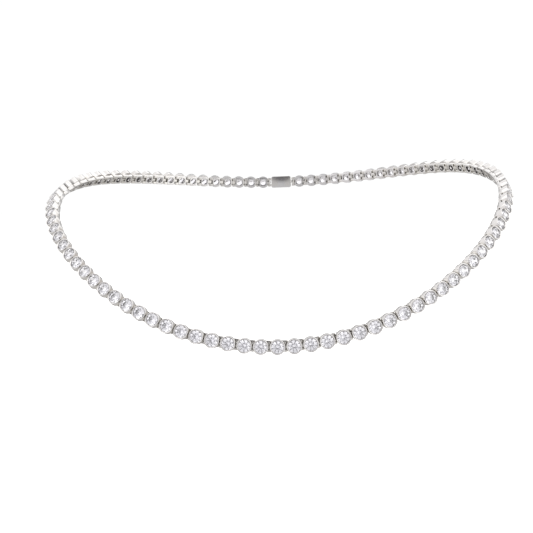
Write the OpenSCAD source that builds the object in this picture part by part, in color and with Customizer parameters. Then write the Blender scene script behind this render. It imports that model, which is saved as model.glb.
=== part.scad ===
// Riviere necklace: one row of round stones in open-backed tube settings, pinned to each other
// and closed at the nape by a plain box clasp.
// The origin lies on the clasp's inner face, where the necklace rests on the nape.
// The front hangs towards -Y and below the origin, and +X is the viewer's right.

/* [Loop] */
// Half of the loop's width, measured at the hinge pins
loop_half_width = 68.5; // [66:0.5:71]
// Half of the loop's depth, from front to nape
loop_half_depth = 57.5; // [56:0.5:61]
// Height that the sides gain over the shoulders
shoulder_rise = 21.5; // [0:0.5:23]
// Height that the back gains towards the nape
nape_rise = 10; // [0:1:14]
// Slope of the loop, with the nape above the front
nape_slope = 18; // [0:1:30]

/* [Faces] */
// How far the front stone looks up
front_look = 1; // [0:1:12]
// How much further up the stones at the sides look
side_look = 40; // [0:1:42]
// Difference between the two sides, as the row twists a little when worn
row_twist = 12; // [0:1:14]

/* [Stones] */
// Number of stones, an odd number, so that one sits at the front
stone_count = 91; // [85:2:91]
// Diameter of a stone
stone_d = 3.4; // [3.2:0.05:3.4]
// Width of the table as a share of the diameter
table_share = 0.56; // [0.5:0.01:0.62]
// Height of the crown
crown_h = 0.5; // [0.4:0.02:0.52]
// Height of the girdle
girdle_h = 0.07; // [0.05:0.01:0.08]
// Depth of the pavilion
pavilion_h = 1.46; // [1.3:0.02:1.46]

/* [Settings] */
// Outer diameter of a tube setting
setting_d = 4.16; // [4.06:0.02:4.18]
// Height of the rim above the hinge pins
rim_h = 2.6; // [2.55:0.01:2.65]
// Height of the tube's lower edge above the hinge pins
tube_low = 0.72; // [0.7:0.01:0.76]
// Width of the base frame that joins the tube to its hinges
base_w = 3.1; // [3:0.02:3.14]
// Length of the base frame
base_l = 2.72; // [2.6:0.02:2.74]
// Diameter of the round opening at the back
back_hole_d = 2; // [1.8:0.05:2]

/* [Hinges] */
// Radius of the knuckles round a pin
knuckle_r = 0.5; // [0.48:0.01:0.52]
// Radius of a pin
pin_r = 0.2; // [0.18:0.01:0.21]
// Play between a pin and the eye round it
pin_play = 0.14; // [0.13:0.01:0.15]
// Width of the tongue between the two ears
tongue_w = 0.96; // [0.9:0.02:1]
// Play between the tongue and each ear
tongue_play = 0.17; // [0.15:0.01:0.19]

/* [Clasp] */
// Width of the clasp
clasp_w = 4.1; // [3.6:0.1:4.4]
// Height of the clasp's upper face above the pins
clasp_h = 2.1; // [1.8:0.1:2.3]
// Radius of the clasp's upright edges
clasp_corner_r = 0.6; // [0.3:0.1:1]

/* [Hidden] */

// The clasp is as long as two stones of the row
clasp_span = 2;
places = stone_count + clasp_span;
last_stone = (stone_count - 1) / 2;
clasp_place = places / 2;

// Sizes that follow from those above
angle_step = 0.5;
round_fn = 48;
hinge_fn = 24;
overlap = 0.25;
base_low = -knuckle_r;
base_top = tube_low + overlap;
ear_inner = tongue_w / 2 + tongue_play;
ear_w = base_w / 2 - ear_inner;

// Profile of the tube, whose lip folds over the girdle
stone_play = 0.12;
rim_flat_w = 0.24;
rim_bevel = 0.06;
lip_r = stone_d / 2 - 0.04;
lip_h = 0.2;
lip_low = rim_h - 0.25;
pocket_r = stone_d / 2 + stone_play;
pocket_top = rim_h - 0.35;
pocket_low = rim_h - 0.54;
bore_r = stone_d / 2 - 0.25;
seat_low = rim_h - 0.88;

// Heights and radii of the stone's corners
girdle_top = rim_h - 0.43;
girdle_low = girdle_top - girdle_h;
table_z = girdle_top + crown_h;
culet_z = girdle_low - pavilion_h;
girdle_r = stone_d / 2;
table_r = girdle_r * table_share;
star_r = table_r + 0.45 * (girdle_r - table_r);
lower_r = 0.25 * girdle_r;
half_step = 22.5;

// A point of the loop, where 0 degrees is the front and 180 the nape
function loop_point(a) =
    let (
        back = loop_half_depth * (1 - cos(a)),
        rise = shoulder_rise * sin(a) ^ 2 + nape_rise * sin(a / 2) ^ 4
    )
    [
        loop_half_width * sin(a),
        back * cos(nape_slope) - rise * sin(nape_slope),
        back * sin(nape_slope) + rise * cos(nape_slope)
    ];

// Length along the loop from the nape, paired with the angle reached
length_table = [
    for (
        total = 0, a = -180;
        a <= 180;
        total = total + norm(loop_point(a + angle_step) - loop_point(a)), a = a + angle_step
    )
    [total, a]
];
loop_length = length_table[len(length_table) - 1][0];
pitch = loop_length / places;

// A place along the row, counted in stones from the front one, and past the nape from the other side
function row_point(place) =
    let (wrapped = place > places / 2 ? place - places : place)
    loop_point(lookup(loop_length / 2 + wrapped * pitch, length_table));

// Angle of a stone's face above the level
function face_angle(place) =
    let (around = 360 * place / places)
    front_look + side_look * sin(around) ^ 2 - row_twist * sin(around);

// Direction in which the face at a place looks, for a piece that runs along the given vector
function face_direction(along, angle) =
    let (level = cross(along, [0, 0, 1]), up = cross(level, along))
    cos(angle) * level / norm(level) + sin(angle) * up / norm(up);

clasp_start = row_point(clasp_place - clasp_span / 2);
clasp_end = row_point(clasp_place + clasp_span / 2);
clasp_reach = norm(clasp_end - clasp_start) / 2;
nape_point = (clasp_start + clasp_end) / 2
    + base_low * face_direction(clasp_end - clasp_start, face_angle(clasp_place));

// Puts a piece between its two pins: its X runs along the row and its Z looks outwards
module at_place(place, span = 1) {
    start = row_point(place - span / 2);
    end = row_point(place + span / 2);
    along = end - start;
    heading = atan2(along.y, along.x);
    climb = atan2(along.z, norm([along.x, along.y]));
    translate((start + end) / 2 - nape_point)
        rotate([90 - face_angle(place), -climb, heading])
            children();
}

// The two ears at the end of a piece, with the pin that the next piece turns on
module ears(reach, root) {
    for (side = [-1, 1]) {
        translate([0, side * (ear_inner + ear_w / 2), 0]) {
            translate([(root + reach) / 2, 0, 0])
                cube([reach - root, ear_w, 2 * knuckle_r], center = true);
            translate([reach, 0, 0])
                rotate([90, 0, 0])
                    cylinder(r = knuckle_r, h = ear_w, center = true, $fn = hinge_fn);
        }
    }
    translate([reach, 0, 0])
        rotate([90, 0, 0])
            cylinder(r = pin_r, h = base_w - ear_w, center = true, $fn = hinge_fn);
}

// The tongue at the start of a piece, with the eye round the pin of the piece before it
module tongue(reach, root) {
    difference() {
        union() {
            translate([-(root + reach) / 2, 0, 0])
                cube([reach - root, tongue_w, 2 * knuckle_r], center = true);
            translate([-reach, 0, 0])
                rotate([90, 0, 0])
                    cylinder(r = knuckle_r, h = tongue_w, center = true, $fn = hinge_fn);
        }
        translate([-reach, 0, 0])
            rotate([90, 0, 0])
                cylinder(r = pin_r + pin_play, h = 2 * tongue_w, center = true, $fn = hinge_fn);
    }
}

// The round tube, with a lip over the stone and a sloping seat below it
module tube() {
    outer_r = setting_d / 2;
    rotate_extrude($fn = round_fn)
        polygon([
            [outer_r, tube_low],
            [outer_r, rim_h - rim_bevel],
            [outer_r - rim_bevel, rim_h],
            [outer_r - rim_bevel - rim_flat_w, rim_h],
            [lip_r, rim_h - lip_h],
            [lip_r, lip_low],
            [pocket_r, pocket_top],
            [pocket_r, pocket_low],
            [bore_r, seat_low],
            [bore_r, tube_low]
        ]);
}

// One setting: tube, base frame, ears and tongue in one piece of metal, open at the back
module setting() {
    root = base_l / 2 - overlap;
    difference() {
        union() {
            tube();
            translate([0, 0, (base_low + base_top) / 2])
                cube([base_l, base_w, base_top - base_low], center = true);
        }
        translate([0, 0, base_low - 1])
            cylinder(d = back_hole_d, h = base_top - base_low + 2, $fn = round_fn);
    }
    ears(pitch / 2, root);
    tongue(pitch / 2, root);
}

// A corner of the stone, at a radius, an angle and a height
function corner(r, a, z) = [r * cos(a), r * sin(a), z];

// Height on a main facet that falls from one radius to another, at the given corner radius
function on_facet(r, r_in, z_in, r_out, z_out) =
    z_in + (z_out - z_in) * (r * cos(half_step) - r_in) / (r_out - r_in);

// A round brilliant: table, stars, kites, upper halves, girdle, lower halves and pavilion mains
module brilliant() {
    star_z = on_facet(star_r, table_r, table_z, girdle_r, girdle_top);
    lower_z = on_facet(lower_r, 0, culet_z, girdle_r, girdle_low);
    table_at = 0;
    star_at = 8;
    upper_at = 16;
    under_at = 32;
    lower_at = 48;
    culet_at = 56;
    points = [
        for (k = [0:7]) corner(table_r, half_step + 45 * k, table_z),
        for (k = [0:7]) corner(star_r, 45 * k, star_z),
        for (k = [0:15]) corner(girdle_r, half_step * k, girdle_top),
        for (k = [0:15]) corner(girdle_r, half_step * k, girdle_low),
        for (k = [0:7]) corner(lower_r, 45 * k, lower_z),
        [0, 0, culet_z]
    ];
    function ring(k, n) = (k + n) % n;
    faces = [
        [for (k = [7:-1:0]) table_at + k],
        for (k = [0:7]) [table_at + ring(k - 1, 8), table_at + k, star_at + k],
        for (k = [0:7])
            [table_at + k, star_at + ring(k + 1, 8), upper_at + 2 * k + 1, star_at + k],
        for (k = [0:7]) [star_at + k, upper_at + 2 * k + 1, upper_at + 2 * k],
        for (k = [0:7]) [star_at + k, upper_at + 2 * k, upper_at + ring(2 * k - 1, 16)],
        for (k = [0:15])
            [upper_at + k, upper_at + ring(k + 1, 16), under_at + ring(k + 1, 16), under_at + k],
        for (k = [0:7]) [lower_at + k, under_at + 2 * k, under_at + 2 * k + 1],
        for (k = [0:7]) [lower_at + k, under_at + ring(2 * k - 1, 16), under_at + 2 * k],
        for (k = [0:7])
            [culet_at, lower_at + k, under_at + 2 * k + 1, lower_at + ring(k + 1, 8)]
    ];
    polyhedron(points, faces);
}

module settings_left() {
    color("silver")
        for (place = [-last_stone:-1])
            at_place(place) setting();
}

module settings_right() {
    color("silver")
        for (place = [0:last_stone])
            at_place(place) setting();
}

module stones_left() {
    color("ghostwhite")
        for (place = [-last_stone:-1])
            at_place(place) brilliant();
}

module stones_right() {
    color("ghostwhite")
        for (place = [0:last_stone])
            at_place(place) brilliant();
}

// A plain closed box on the same pins, as long as two stones of the row
module clasp() {
    box_l = 2 * clasp_reach - pitch + base_l;
    root = box_l / 2 - overlap;
    color("silver")
        at_place(clasp_place, clasp_span) {
            translate([0, 0, base_low])
                linear_extrude(clasp_h - base_low)
                    clasp_outline(box_l, clasp_w, clasp_corner_r);
            ears(clasp_reach, root);
            tongue(clasp_reach, root);
        }
}

// A rectangle with round corners
module clasp_outline(length, width, r) {
    square([length - 2 * r, width], center = true);
    square([length, width - 2 * r], center = true);
    for (x = [-1, 1], y = [-1, 1])
        translate([x * (length / 2 - r), y * (width / 2 - r)])
            circle(r = r, $fn = hinge_fn);
}

settings_left();
settings_right();
stones_left();
stones_right();
clasp();
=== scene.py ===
import math
import random

import bmesh
import bpy
from mathutils import Matrix, Vector


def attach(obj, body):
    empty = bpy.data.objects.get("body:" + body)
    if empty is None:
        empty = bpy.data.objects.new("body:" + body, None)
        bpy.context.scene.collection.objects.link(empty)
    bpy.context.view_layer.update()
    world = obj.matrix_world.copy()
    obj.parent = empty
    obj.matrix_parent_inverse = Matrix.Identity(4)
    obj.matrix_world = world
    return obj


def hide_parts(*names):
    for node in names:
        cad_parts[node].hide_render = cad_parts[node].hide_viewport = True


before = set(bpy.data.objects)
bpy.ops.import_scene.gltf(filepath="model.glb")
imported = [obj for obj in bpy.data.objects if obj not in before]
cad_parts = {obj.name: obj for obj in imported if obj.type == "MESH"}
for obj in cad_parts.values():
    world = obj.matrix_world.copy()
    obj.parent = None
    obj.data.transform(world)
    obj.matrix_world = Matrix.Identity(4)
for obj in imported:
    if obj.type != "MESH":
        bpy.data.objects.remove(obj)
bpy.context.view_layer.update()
bpy.ops.object.select_all(action="DESELECT")
chanceSeed = 3355
chance = random.Random(chanceSeed)
millimetre = 0.001
print("frame loaded,", len(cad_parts), "CAD nodes")

# The row follows the same curve and stations as the CAD source. Everything is modelled in millimetres and in
# the axes of one link, where X runs along the row, Z looks outwards and the hinge pins lie at Z 0.
row = {
    "halfWidth": 68.5,
    "halfDepth": 57.5,
    "shoulderRise": 21.5,
    "napeRise": 10.0,
    "napeSlope": 18.0,
    "frontLook": 1.0,
    "sideLook": 40.0,
    "rowTwist": 12.0,
    "stones": 91,
    "claspSpan": 2,
    "angleStep": 0.5,
    "innerFaceZ": -0.5,
}
places = row["stones"] + row["claspSpan"]
lastStone = (row["stones"] - 1) // 2
claspPlace = places / 2


def loopPoint(angle):
    turn = math.radians(angle)
    slope = math.radians(row["napeSlope"])
    back = row["halfDepth"] * (1 - math.cos(turn))
    rise = row["shoulderRise"] * math.sin(turn) ** 2 + row["napeRise"] * math.sin(turn / 2) ** 4
    return Vector((
        row["halfWidth"] * math.sin(turn),
        back * math.cos(slope) - rise * math.sin(slope),
        back * math.sin(slope) + rise * math.cos(slope),
    ))


def measureLoop():
    # Angles from nape to nape, each with the length of chain before it
    steps = round(360 / row["angleStep"])
    angles = [-180 + row["angleStep"] * k for k in range(steps + 1)]
    lengths = [0.0]
    for a, b in zip(angles, angles[1:]):
        lengths.append(lengths[-1] + (loopPoint(b) - loopPoint(a)).length)
    return angles, lengths


loopAngles, loopLengths = measureLoop()
pitch = loopLengths[-1] / places


def rowPoint(place):
    # A place counts stones from the front one, and past the nape it comes round to the other side
    wrapped = place - places if place > places / 2 else place
    wanted = loopLengths[-1] / 2 + wrapped * pitch
    for k in range(len(loopLengths) - 1):
        if wanted <= loopLengths[k + 1]:
            break
    share = (wanted - loopLengths[k]) / (loopLengths[k + 1] - loopLengths[k])
    return loopPoint(loopAngles[k] + share * row["angleStep"])


def faceAngle(place):
    around = 2 * math.pi * place / places
    return row["frontLook"] + row["sideLook"] * math.sin(around) ** 2 - row["rowTwist"] * math.sin(around)


def linkTurn(place, span=1):
    # Middle of a link between its two pins, how it is turned, and how far its pins are from the middle
    start, end = rowPoint(place - span / 2), rowPoint(place + span / 2)
    along = end - start
    heading = math.atan2(along.y, along.x)
    climb = math.atan2(along.z, math.hypot(along.x, along.y))
    face = math.radians(90 - faceAngle(place))
    turn = Matrix.Rotation(heading, 3, "Z") @ Matrix.Rotation(-climb, 3, "Y") @ Matrix.Rotation(face, 3, "X")
    return (start + end) / 2, turn, along.length / 2


claspMiddle, claspTurn, claspReach = linkTurn(claspPlace, row["claspSpan"])
napePoint = claspMiddle + claspTurn @ Vector((0, 0, row["innerFaceZ"]))


def linkMatrix(place, span=1):
    middle, turn, _ = linkTurn(place, span)
    placed = Matrix.Translation(middle - napePoint) @ turn.to_4x4()
    return Matrix.Scale(millimetre, 4) @ placed


nearby = 0.01  # how near counts as the same spot when corners and edges are picked
weldGap = 0.0005  # corners nearer than this become one
softAngle = 40  # edges sharper than this are softened
smoothAngle = 35  # and sharper than this they stay crisp in the shading


def beginPiece(name):
    piece = bpy.context.object
    piece.name = name
    piece.data.name = name
    bpy.ops.object.transform_apply(location=True, rotation=True, scale=True)
    bpy.ops.object.mode_set(mode="EDIT")
    return piece


def endPiece(piece):
    bpy.ops.object.mode_set(mode="OBJECT")
    bpy.ops.object.select_all(action="DESELECT")
    return piece


def pick(piece, kind, isWanted):
    # Selects corners or edges by their place, in edit mode
    bpy.ops.mesh.select_all(action="DESELECT")
    bpy.ops.mesh.select_mode(type=kind)
    mesh = bmesh.from_edit_mesh(piece.data)
    for part in mesh.verts if kind == "VERT" else mesh.edges:
        if isWanted(part):
            part.select_set(True)
    mesh.select_flush_mode()
    bmesh.update_edit_mesh(piece.data)


def makeActive(piece):
    bpy.ops.object.select_all(action="DESELECT")
    piece.select_set(True)
    bpy.context.view_layer.objects.active = piece


def combine(piece, other, operation):
    makeActive(piece)
    joint = piece.modifiers.new("combine", "BOOLEAN")
    joint.operation = operation
    joint.solver = "EXACT"
    joint.object = other
    bpy.ops.object.modifier_apply(modifier=joint.name)
    bpy.data.objects.remove(other)


def softenEdges(piece, width, segments):
    makeActive(piece)
    edge = piece.modifiers.new("softEdges", "BEVEL")
    edge.width = width
    edge.segments = segments
    edge.limit_method = "ANGLE"
    edge.angle_limit = math.radians(softAngle)
    edge.use_clamp_overlap = True
    bpy.ops.object.modifier_apply(modifier=edge.name)


def smoothShading(piece):
    makeActive(piece)
    bpy.ops.object.shade_smooth_by_angle(angle=math.radians(smoothAngle))
    bpy.ops.object.select_all(action="DESELECT")


def roundedBox(name, length, width, top, cornerR, cornerSteps):
    # Stands on the inner face, with its four upright edges rounded
    low = row["innerFaceZ"]
    height = top - low
    bpy.ops.mesh.primitive_cube_add(size=1, scale=(length, width, height), location=(0, 0, (top + low) / 2))
    piece = beginPiece(name)
    pick(piece, "EDGE", lambda e: abs(e.verts[0].co.z - e.verts[1].co.z) > height / 2)
    bpy.ops.mesh.bevel(offset=cornerR, segments=cornerSteps)
    return endPiece(piece)


def crossCylinder(sides, radius, length, x, y=0):
    # Lies across the row
    bpy.ops.mesh.primitive_cylinder_add(
        vertices=sides, radius=radius, depth=length, location=(x, y, 0), rotation=(math.pi / 2, 0, 0)
    )
    return bpy.context.object


# The tube is turned from one profile, with its rim pressed over the stone
tube = {
    "sides": 56,
    "outerR": 2.072,
    "footZ": 0.72,
    "rimZ": 2.597,
    "crestWidth": 0.25,
    "crestRadius": 0.13,
    "crestSteps": 3,
    "lipR": 1.655,
    "lipZ": 2.38,
    "lipEndZ": 2.215,
    "lipRadius": 0.05,
    "lipSteps": 2,
    "seatR": 1.705,
    "seatZ": 2.09,
    "seatWall": 0.09,
    "boreR": 1.45,
    "boreZ": 1.77,
}


def turnedTube():
    # The profile runs from the foot up the outside, over the crest, down the lip to the seat and the bore
    t = tube
    profile = [
        (t["outerR"], t["footZ"]),
        (t["outerR"], t["rimZ"]),
        (t["outerR"] - t["crestWidth"], t["rimZ"]),
        (t["lipR"], t["lipZ"]),
        (t["lipR"], t["lipEndZ"]),
        (t["seatR"], t["seatZ"] + t["seatWall"]),
        (t["seatR"], t["seatZ"]),
        (t["boreR"], t["boreZ"]),
        (t["boreR"], t["footZ"]),
    ]
    # a plane merged to its centre is the one corner that the profile is extruded from
    bpy.ops.mesh.primitive_plane_add()
    piece = beginPiece("tube")
    bpy.ops.mesh.select_mode(type="VERT")
    bpy.ops.mesh.merge(type="CENTER")
    bpy.ops.transform.translate(value=(profile[0][0], 0, profile[0][1]))
    for a, b in zip(profile, profile[1:] + profile[:1]):
        bpy.ops.mesh.extrude_vertices_move(TRANSFORM_OT_translate={"value": (b[0] - a[0], 0, b[1] - a[1])})
    bpy.ops.mesh.select_all(action="SELECT")
    bpy.ops.mesh.remove_doubles(threshold=weldGap)
    bpy.ops.mesh.spin(steps=t["sides"], angle=2 * math.pi, center=(0, 0, 0), axis=(0, 0, 1))
    bpy.ops.mesh.select_all(action="SELECT")
    bpy.ops.mesh.remove_doubles(threshold=weldGap)
    bpy.ops.mesh.normals_make_consistent(inside=False)

    def isRing(edge, spot):
        ends = [(math.hypot(v.co.x, v.co.y), v.co.z) for v in edge.verts]
        return all(abs(r - spot[0]) < nearby and abs(z - spot[1]) < nearby for r, z in ends)

    lip = (profile[3:4], t["lipRadius"], t["lipSteps"])
    crest = (profile[1:3], t["crestRadius"], t["crestSteps"])
    for corners, radius, steps in (lip, crest):
        pick(piece, "EDGE", lambda e: any(isRing(e, spot) for spot in corners))
        bpy.ops.mesh.bevel(offset=radius, segments=steps)
    return endPiece(piece)


base = {
    "length": 2.72,
    "width": 3.1,
    "top": 0.97,
    "cornerR": 0.28,
    "cornerSteps": 4,
    "edgeRadius": 0.06,
    "edgeSteps": 2,
    "holeR": 1.0,
    "holeSides": 48,
    "holeCut": 4,  # longer than the frame is deep
}


def baseFrame():
    b = base
    piece = roundedBox("baseFrame", b["length"], b["width"], b["top"], b["cornerR"], b["cornerSteps"])
    bpy.ops.mesh.primitive_cylinder_add(vertices=b["holeSides"], radius=b["holeR"], depth=b["holeCut"])
    combine(piece, bpy.context.object, "DIFFERENCE")
    softenEdges(piece, b["edgeRadius"], b["edgeSteps"])
    return piece


hinge = {
    "knuckleR": 0.49,
    "sides": 24,
    "pinR": 0.2,
    "pinSides": 16,
    "pinHead": 0.06,
    "pinRound": 0.04,
    "pinSteps": 2,
    "eyeR": 0.33,
    "eyeSides": 20,
    "eyeCut": 3,  # longer than the tongue is wide
    "earInner": 0.65,
    "earOuter": 1.535,
    "tongueWidth": 0.96,
    "rootX": 1.3,
    "edgeRadius": 0.05,
    "edgeSteps": 2,
}


def knuckle(name, side, width, y, reach):
    # A cylinder round the pin, drawn out towards the base frame
    h = hinge
    crossCylinder(h["sides"], h["knuckleR"], width, side * reach, y)
    piece = beginPiece(name)
    pick(piece, "VERT", lambda v: side * v.co.x < reach - nearby)
    bpy.ops.transform.translate(value=(-side * (reach - h["rootX"]), 0, 0))
    return endPiece(piece)


def crossPin(reach):
    # Its two rounded heads stand out of the ears
    h = hinge
    length = 2 * (h["earOuter"] + h["pinHead"])
    crossCylinder(h["pinSides"], h["pinR"], length, reach)
    piece = beginPiece("pin")
    pick(piece, "EDGE", lambda e: abs(sum(v.co.y for v in e.verts)) > length - nearby)
    bpy.ops.mesh.bevel(offset=h["pinRound"], segments=h["pinSteps"])
    return endPiece(piece)


def hingeParts(reach):
    # Two ears and their pin at one end, the tongue with its eye at the other
    h = hinge
    parts = []
    earWidth = h["earOuter"] - h["earInner"]
    for side in (-1, 1):
        ear = knuckle("ear", 1, earWidth, side * (h["earInner"] + earWidth / 2), reach)
        softenEdges(ear, h["edgeRadius"], h["edgeSteps"])
        parts.append(ear)
    parts.append(crossPin(reach))
    tongue = knuckle("tongue", -1, h["tongueWidth"], 0, reach)
    combine(tongue, crossCylinder(h["eyeSides"], h["eyeR"], h["eyeCut"], -reach), "DIFFERENCE")
    softenEdges(tongue, h["edgeRadius"], h["edgeSteps"])
    parts.append(tongue)
    return parts


def makeSetting():
    body = turnedTube()
    combine(body, baseFrame(), "UNION")
    for part in hingeParts(pitch / 2):
        combine(body, part, "UNION")
    smoothShading(body)
    return body


# The stone is a round blank, ground to its facets one plane at a time
cut = {
    "sides": 64,
    "facets": 8,
    "radius": 1.7,
    "tableShare": 0.56,
    "starShare": 0.45,
    "lowerShare": 0.25,
    "girdleTop": 2.17,
    "girdle": 0.07,
    "crown": 0.498,
    "pavilion": 1.46,
    "grindGap": 0.0002,
    "weldGap": 0.003,
    "flatAngle": 0.2,
}
facetStep = 360 / cut["facets"]


def corner(radius, angle, height):
    turn = math.radians(angle)
    return Vector((radius * math.cos(turn), radius * math.sin(turn), height))


def grindFacet(inside, a, b, c):
    # Takes off all that lies beyond the plane through the three corners
    normal = (b - a).cross(c - a).normalized()
    if normal.dot(a - inside) < 0:
        normal = -normal
    gap = cut["grindGap"]
    bpy.ops.mesh.select_all(action="SELECT")
    bpy.ops.mesh.bisect(plane_co=a, plane_no=normal, use_fill=True, clear_outer=True, threshold=gap)


def makeStone():
    c = cut
    half = facetStep / 2
    girdleR, girdleTop = c["radius"], c["girdleTop"]
    girdleLow = girdleTop - c["girdle"]
    tableZ = girdleTop + c["crown"]
    culetZ = girdleLow - c["pavilion"]
    tableR = girdleR * c["tableShare"]
    starR = tableR + c["starShare"] * (girdleR - tableR)
    lowerR = girdleR * c["lowerShare"]
    cosHalf = math.cos(math.radians(half))
    starZ = tableZ - c["crown"] * (starR * cosHalf - tableR) / (girdleR - tableR)
    lowerZ = culetZ + c["pavilion"] * lowerR * cosHalf / girdleR
    inside = Vector((0, 0, girdleTop))
    culet = Vector((0, 0, culetZ))
    bpy.ops.mesh.primitive_cylinder_add(
        vertices=c["sides"], radius=girdleR, depth=tableZ - culetZ, location=(0, 0, (tableZ + culetZ) / 2)
    )
    piece = beginPiece("brilliant")
    for k in range(c["facets"]):
        # kite of the crown and main of the pavilion
        main = half + facetStep * k
        level = corner(1, main + 90, 0)  # along the rim there
        rim = corner(girdleR, main, girdleTop)
        grindFacet(inside, corner(tableR, main, tableZ), rim, rim + level)
        foot = corner(girdleR, main, girdleLow)
        grindFacet(inside, culet, foot, foot + level)
    for k in range(c["facets"]):
        # star facet, then the pairs of upper and lower halves beside it
        star = facetStep * k
        starCorner = corner(starR, star, starZ)
        lowerCorner = corner(lowerR, star, lowerZ)
        tableEdge = [corner(tableR, star + side, tableZ) for side in (-half, half)]
        grindFacet(inside, *tableEdge, starCorner)
        for side in (-half, half):
            for tip, z in ((starCorner, girdleTop), (lowerCorner, girdleLow)):
                grindFacet(inside, tip, corner(girdleR, star, z), corner(girdleR, star + side, z))
    bpy.ops.mesh.select_all(action="SELECT")
    bpy.ops.mesh.remove_doubles(threshold=c["weldGap"])
    bpy.ops.mesh.dissolve_limited(angle_limit=math.radians(c["flatAngle"]))
    bpy.ops.mesh.select_all(action="SELECT")
    bpy.ops.mesh.normals_make_consistent(inside=False)
    return endPiece(piece)


# The clasp is a plain closed box with the same ears, pin and tongue
clasp = {
    "width": 4.1,
    "top": 2.1,
    "cornerR": 0.6,
    "cornerSteps": 8,
    "edgeRadius": 0.14,
    "edgeSteps": 4,
    "rootSlack": 0.02,
    "linkNumber": 0.5,
}


def makeClasp():
    c = clasp
    length = 2 * claspReach - pitch + base["length"]
    grow = length / 2 - base["length"] / 2  # how much further out its ends are than a setting's
    piece = roundedBox("claspBox", length, c["width"], c["top"], c["cornerR"], c["cornerSteps"])
    softenEdges(piece, c["edgeRadius"], c["edgeSteps"])
    for part in hingeParts(claspReach):
        # the roots of ears and tongue move out to the ends of the longer box
        side = -1 if part.name.startswith("tongue") else 1
        makeActive(part)
        if not part.name.startswith("pin"):
            bpy.ops.object.mode_set(mode="EDIT")
            pick(part, "VERT", lambda v: side * v.co.x < hinge["rootX"] + c["rootSlack"])
            bpy.ops.transform.translate(value=(side * grow, 0, 0))
            endPiece(part)
        combine(piece, part, "UNION")
    smoothShading(piece)
    return piece


def noteLink(mesh, number):
    # Millimetres in the link's own axes and one number per link, which the finishes read
    mesh.attributes.new("linkPlace", "FLOAT_VECTOR", "POINT")
    mesh.attributes.new("linkNumber", "FLOAT", "POINT")
    linkPlace = mesh.attributes["linkPlace"].data
    linkNumber = mesh.attributes["linkNumber"].data
    for k, vertex in enumerate(mesh.vertices):
        linkPlace[k].vector = vertex.co
        linkNumber[k].value = number


def layRow(name, pattern, first, last, spin):
    # Copies with their own mesh, each turned at random by up to the given angle, joined to one piece
    copies = []
    for place in range(first, last + 1):
        copy = pattern.copy()
        copy.data = pattern.data.copy()
        bpy.context.scene.collection.objects.link(copy)
        noteLink(copy.data, chance.random())
        turned = Matrix.Rotation(math.radians(spin * chance.random()), 4, "Z")
        copy.data.transform(linkMatrix(place) @ turned)
        copies.append(copy)
    bpy.ops.object.select_all(action="DESELECT")
    for copy in copies:
        copy.select_set(True)
    bpy.context.view_layer.objects.active = copies[0]
    bpy.ops.object.join()
    joined = copies[0]
    joined.name = name
    joined.data.name = name
    bpy.ops.object.select_all(action="DESELECT")
    return joined


setting = makeSetting()
print("setting modelled,", len(setting.data.polygons), "faces")
stone = makeStone()
print("stone cut,", len(stone.data.polygons), "faces")
claspBox = makeClasp()
noteLink(claspBox.data, clasp["linkNumber"])
claspBox.data.transform(linkMatrix(claspPlace, row["claspSpan"]))
print("clasp modelled,", len(claspBox.data.polygons), "faces")

settingsLeft = layRow("settingsLeft", setting, -lastStone, -1, 0)
settingsRight = layRow("settingsRight", setting, 0, lastStone, 0)
stonesLeft = layRow("stonesLeft", stone, -lastStone, -1, facetStep)
stonesRight = layRow("stonesRight", stone, 0, lastStone, facetStep)
bpy.data.objects.remove(setting)
bpy.data.objects.remove(stone)
print("row laid,", row["stones"], "links")

for piece, node in (
    (settingsLeft, "settings_left"),
    (settingsRight, "settings_right"),
    (claspBox, "clasp"),
):
    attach(piece, "root")
    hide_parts(node)
for piece, node in ((stonesLeft, "stones_left"), (stonesRight, "stones_right")):
    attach(piece, "root")
    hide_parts(node)


def toLinear(code):
    # Colours are written as sRGB hex values and used as linear ones
    channels = [int(code[k : k + 2], 16) / 255 for k in (1, 3, 5)]
    return [c / 12.92 if c <= 0.04045 else ((c + 0.055) / 1.055) ** 2.4 for c in channels] + [1.0]


def addNode(tree, kind, inputs=None, **settings):
    node = tree.nodes.new(kind)
    for name, value in settings.items():
        setattr(node, name, value)
    for socket, value in (inputs or {}).items():
        if isinstance(value, bpy.types.NodeSocket):
            tree.links.new(value, node.inputs[socket])
        else:
            node.inputs[socket].default_value = value
    return node


# A Mix node has several sockets called A, B and Result, so they are told apart by their numbers
mixColour = {"A": 6, "B": 7, "result": 2}
mixValue = {"A": 2, "B": 3, "result": 0}


def newMaterial(name):
    material = bpy.data.materials.new(name)
    material.use_nodes = True
    material.node_tree.nodes.clear()
    return material, material.node_tree


metal = {
    "plate": "#CCCAC8",
    # The second tone, and the fades below that place it, are painted shade low between the links, where they
    # shade each other, and also the duller metal there
    "shadeAndDullness": "#CBC8C3",
    "shadeAndDullnessFades": {"X": (1.0, 1.6), "Y": (1.58, 1.38), "Z": (2.3, 1.75)},
    "roughness": 0.1,
    "hazeRoughness": 0.19,
    "hazeLimits": (0.35, 0.75),
    "hazeMm": 0.7,
    "hazeDetail": 3.0,
    "latheMm": 0.07,
    "latheDepth": 0.0000025,
    "latheDetail": 1.0,
}


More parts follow.
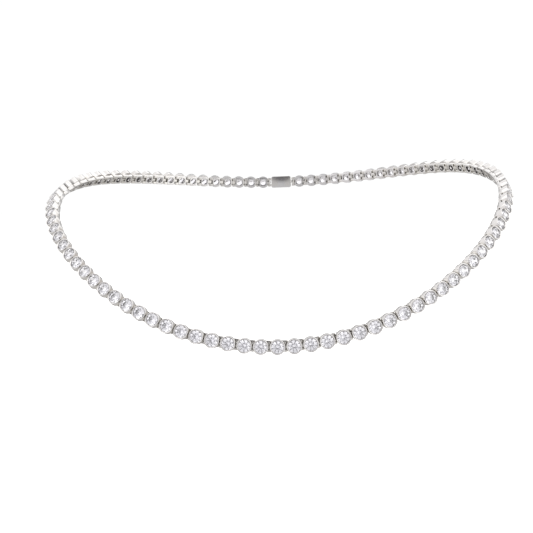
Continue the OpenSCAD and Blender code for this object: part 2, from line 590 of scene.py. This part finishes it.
def rhodiumPlatedSilver():
    # Silver castings turned, polished and rhodium plated: a bright grey mirror, hazed a little by handling,
    # with faint lathe lines, and a warmer, slightly darker tone painted low between the links: painted shade
    # where the links shade each other, and also the duller metal where the polishing wheel can't reach
    material, tree = newMaterial("rhodiumPlatedSilver")
    place = addNode(tree, "ShaderNodeAttribute", attribute_name="linkPlace").outputs["Vector"]
    number = addNode(tree, "ShaderNodeAttribute", attribute_name="linkNumber").outputs["Fac"]
    split = addNode(tree, "ShaderNodeSeparateXYZ", {"Vector": place})
    # A mask for the painted shade: it rises towards the link ends, inside the frame's width and low down,
    # where the links shade each other
    shadeAndDullness = None
    for axis, (plainMetalLimit, shadeAndDullnessLimit) in metal["shadeAndDullnessFades"].items():
        distance = addNode(tree, "ShaderNodeMath", {0: split.outputs[axis]}, operation="ABSOLUTE")
        fade = addNode(
            tree,
            "ShaderNodeMapRange",
            {"Value": distance.outputs[0], "From Min": plainMetalLimit, "From Max": shadeAndDullnessLimit},
            interpolation_type="SMOOTHSTEP",
        ).outputs["Result"]
        if shadeAndDullness is not None:
            fade = addNode(tree, "ShaderNodeMath", {0: shadeAndDullness, 1: fade}, operation="MULTIPLY").outputs[0]
        shadeAndDullness = fade
    # The plated tone takes on the painted shade where that mask is high
    tone = addNode(
        tree,
        "ShaderNodeMix",
        {
            "Factor": shadeAndDullness,
            mixColour["A"]: toLinear(metal["plate"]),
            mixColour["B"]: toLinear(metal["shadeAndDullness"]),
        },
        data_type="RGBA",
    )
    haze = addNode(
        tree,
        "ShaderNodeTexNoise",
        {"Vector": place, "W": number, "Scale": 1 / metal["hazeMm"], "Detail": metal["hazeDetail"]},
        noise_dimensions="4D",
    )
    rough = addNode(
        tree,
        "ShaderNodeMapRange",
        {
            "Value": haze.outputs["Fac"],
            "From Min": metal["hazeLimits"][0],
            "From Max": metal["hazeLimits"][1],
            "To Min": metal["roughness"],
            "To Max": metal["hazeRoughness"],
        },
    )
    lines = addNode(
        tree,
        "ShaderNodeTexNoise",
        {"W": split.outputs["Z"], "Scale": 1 / metal["latheMm"], "Detail": metal["latheDetail"]},
        noise_dimensions="1D",
    )
    relief = addNode(
        tree,
        "ShaderNodeBump",
        {"Height": lines.outputs["Fac"], "Strength": 1.0, "Distance": metal["latheDepth"]},
    )
    shader = addNode(
        tree,
        "ShaderNodeBsdfPrincipled",
        {
            "Base Color": tone.outputs[mixColour["result"]],
            "Metallic": 1.0,
            "Roughness": rough.outputs["Result"],
            "Normal": relief.outputs["Normal"],
        },
    )
    addNode(tree, "ShaderNodeOutputMaterial", {"Surface": shader.outputs["BSDF"]})
    return material


gem = {"body": "#FCFBFE", "ior": 2.16}


def cubicZirconia():
    # Cut and polished to a mirror on every facet, so all its life comes from what the facets bend and mirror
    material, tree = newMaterial("cubicZirconia")
    shader = addNode(
        tree,
        "ShaderNodeBsdfPrincipled",
        {
            "Base Color": toLinear(gem["body"]),
            "Roughness": 0.0,
            "IOR": gem["ior"],
            "Transmission Weight": 1.0,
        },
    )
    addNode(tree, "ShaderNodeOutputMaterial", {"Surface": shader.outputs["BSDF"]})
    return material


paper = {
    "tone": "#F7F5F2",
    "fibreTone": "#FFFEFC",
    "fibreMm": 1.5,
    "fibreDetail": 4.0,
    "roughness": 0.9,
    "glowTone": "#FFFFFF",
    "glow": 0.35,
}


def seamlessPaper():
    # Matt white background paper with a faint fibre in it
    material, tree = newMaterial("seamlessPaper")
    place = addNode(tree, "ShaderNodeTexCoord").outputs["Object"]
    fibre = addNode(
        tree,
        "ShaderNodeTexNoise",
        {"Vector": place, "Scale": 1 / (paper["fibreMm"] * millimetre), "Detail": paper["fibreDetail"]},
    )
    tone = addNode(
        tree,
        "ShaderNodeMix",
        {
            "Factor": fibre.outputs["Fac"],
            mixColour["A"]: toLinear(paper["tone"]),
            mixColour["B"]: toLinear(paper["fibreTone"]),
        },
        data_type="RGBA",
    )
    shader = addNode(
        tree,
        "ShaderNodeBsdfPrincipled",
        {
            "Base Color": tone.outputs[mixColour["result"]],
            "Roughness": paper["roughness"],
            "Emission Color": toLinear(paper["glowTone"]),
            "Emission Strength": paper["glow"],
        },
    )
    addNode(tree, "ShaderNodeOutputMaterial", {"Surface": shader.outputs["BSDF"]})
    return material


plated = rhodiumPlatedSilver()
clear = cubicZirconia()
for piece in (settingsLeft, settingsRight, claspBox):
    piece.data.materials.clear()
    piece.data.materials.append(plated)
for piece in (stonesLeft, stonesRight):
    piece.data.materials.clear()
    piece.data.materials.append(clear)
print("finishes made")

# From here on in metres. The floor is pale and so large that no edge of it shows.
backdrop = {"size": 60.0, "z": -0.3, "cuts": 3}

bpy.ops.mesh.primitive_plane_add(size=backdrop["size"], location=(0, 0, backdrop["z"]))
floor = beginPiece("floor")
bpy.ops.mesh.subdivide(number_cuts=backdrop["cuts"])
endPiece(floor)
floor.data.materials.append(seamlessPaper())
floor.visible_glossy = False
floor.visible_transmission = False

softboxAim = (0, -0.055, -0.02)
softboxes = [
    {"name": "keySoftbox", "at": (-0.35, -0.45, 0.62), "size": (0.7, 0.7), "power": 0.75},
    {"name": "fillSoftbox", "at": (0.55, -0.35, 0.3), "size": (0.5, 0.7), "power": 0.5},
    {"name": "backSoftbox", "at": (0.1, 0.6, 0.6), "size": (0.6, 0.3), "power": 0.3},
]
for box in softboxes:
    bpy.ops.object.light_add(type="AREA", location=box["at"])
    lamp = bpy.context.object
    lamp.name = box["name"]
    lamp.data.shape = "RECTANGLE"
    lamp.data.size, lamp.data.size_y = box["size"]
    lamp.data.energy = box["power"]
    lamp.rotation_euler = (Vector(softboxAim) - Vector(box["at"])).to_track_quat("-Z", "Y").to_euler()
    lamp.visible_camera = False

# The polished metal and the stones mirror a white room. Its ceiling, and its walls and floor in front,
# brighten towards the right, and its walls behind are brighter on the left. A greyer wall right at the back
# draws the outlines of the rings, and the end round the camera is darker. The camera itself sees plain white.
studio = {
    "frontLeft": "#DCDBDF",
    "frontRight": "#F8F8F8",
    "behindLeft": "#E7E6E6",
    "behindRight": "#B9B5B3",
    "ceilingLeft": "#E3E2E3",
    "ceilingRight": "#F8F8F8",
    "belowAhead": "#B4B3B4",
    "belowLeft": "#BCBAB9",
    "belowRight": "#F8F8F8",
    "belowBehind": "#B4B3B2",
    "backAbove": "#AEAEAF",
    "backBelow": "#888787",
    "darkEnd": "#B6B6B9",
    "cameraShade": "#656466",
    "backdrop": "#FFFFFF",
}
roomLight = {
    "towardCamera": (0.04, -0.975, 0.2),
    "leftToRight": (-0.5, 0.75),
    "strength": 1.76,
    "backdropStrength": 1.02,
}
leftToRight = roomLight["leftToRight"]
# Each blend goes from one tone to another while a ray's direction passes from the first limit to the second,
# and its result is a tone for the blends after it
blends = [
    {"makes": "frontWalls", "by": "X", "limits": leftToRight, "tones": ("frontLeft", "frontRight")},
    {"makes": "behindWalls", "by": "X", "limits": leftToRight, "tones": ("behindLeft", "behindRight")},
    {"makes": "ceiling", "by": "X", "limits": leftToRight, "tones": ("ceilingLeft", "ceilingRight")},
    {"makes": "belowBeside", "by": "X", "limits": leftToRight, "tones": ("belowLeft", "belowRight")},
    {"makes": "belowFront", "by": "aside", "limits": (0.3, 0.75), "tones": ("belowAhead", "belowBeside")},
    {"makes": "front", "by": "Z", "limits": (-0.05, -0.4), "tones": ("frontWalls", "belowFront")},
    {"makes": "behind", "by": "Z", "limits": (-0.12, -0.5), "tones": ("behindWalls", "belowBehind")},
    {"makes": "around", "by": "Y", "limits": (-0.5, 0.25), "tones": ("front", "behind")},
    {"makes": "roofed", "by": "Z", "limits": (0.0, 0.5), "tones": ("around", "ceiling")},
    {"makes": "backWall", "by": "Z", "limits": (-0.2, 0.2), "tones": ("backBelow", "backAbove")},
    {"makes": "closed", "by": "Y", "limits": (0.6, 0.88), "tones": ("roofed", "backWall")},
    {"makes": "darkened", "by": "facing", "limits": (0.7, 0.93), "tones": ("closed", "darkEnd")},
    {"makes": "mirrored", "by": "facing", "limits": (0.95, 0.98), "tones": ("darkened", "cameraShade")},
]

world = bpy.data.worlds.new("studioRoom")
bpy.context.scene.world = world
world.use_nodes = True
sky = world.node_tree
sky.nodes.clear()
direction = addNode(sky, "ShaderNodeTexCoord").outputs["Generated"]
toward = addNode(sky, "ShaderNodeSeparateXYZ", {"Vector": direction})
measures = {axis: toward.outputs[axis] for axis in ("X", "Y", "Z")}
measures["aside"] = addNode(sky, "ShaderNodeMath", {0: measures["X"]}, operation="ABSOLUTE").outputs[0]
measures["facing"] = addNode(
    sky,
    "ShaderNodeVectorMath",
    {0: direction, 1: roomLight["towardCamera"]},
    operation="DOT_PRODUCT",
).outputs["Value"]
tones = {name: toLinear(code) for name, code in studio.items()}
for blend in blends:
    start, end = blend["limits"]
    first, second = blend["tones"]
    share = addNode(
        sky,
        "ShaderNodeMapRange",
        {"Value": measures[blend["by"]], "From Min": start, "From Max": end},
        interpolation_type="SMOOTHSTEP",
    )
    mixed = addNode(
        sky,
        "ShaderNodeMix",
        {"Factor": share.outputs["Result"], mixColour["A"]: tones[first], mixColour["B"]: tones[second]},
        data_type="RGBA",
    )
    tones[blend["makes"]] = mixed.outputs[mixColour["result"]]

seenByCamera = addNode(sky, "ShaderNodeLightPath").outputs["Is Camera Ray"]
tone = addNode(
    sky,
    "ShaderNodeMix",
    {"Factor": seenByCamera, mixColour["A"]: tones["mirrored"], mixColour["B"]: tones["backdrop"]},
    data_type="RGBA",
)
strength = addNode(
    sky,
    "ShaderNodeMix",
    {
        "Factor": seenByCamera,
        mixValue["A"]: roomLight["strength"],
        mixValue["B"]: roomLight["backdropStrength"],
    },
)
glow = addNode(
    sky,
    "ShaderNodeBackground",
    {"Color": tone.outputs[mixColour["result"]], "Strength": strength.outputs[mixValue["result"]]},
)
addNode(sky, "ShaderNodeOutputWorld", {"Surface": glow.outputs["Background"]})

# The photograph's camera, near and almost level with the front of the row
cameraView = {
    "at": (0.0084585, -0.3763851, -0.0050833),
    "turn": (86.07516, 1.99882, 2.12956),
    "lensMm": 69.18674,
    "sensorMm": 36.0,
    "nearest": 0.01,
    "farthest": 200,
}
bpy.ops.object.camera_add(location=cameraView["at"], rotation=[math.radians(a) for a in cameraView["turn"]])
camera = bpy.context.object
camera.data.lens = cameraView["lensMm"]
camera.data.sensor_width = cameraView["sensorMm"]
camera.data.clip_start = cameraView["nearest"]
camera.data.clip_end = cameraView["farthest"]
bpy.context.scene.camera = camera
bpy.context.scene.view_settings.view_transform = "Standard"
print("studio lit")
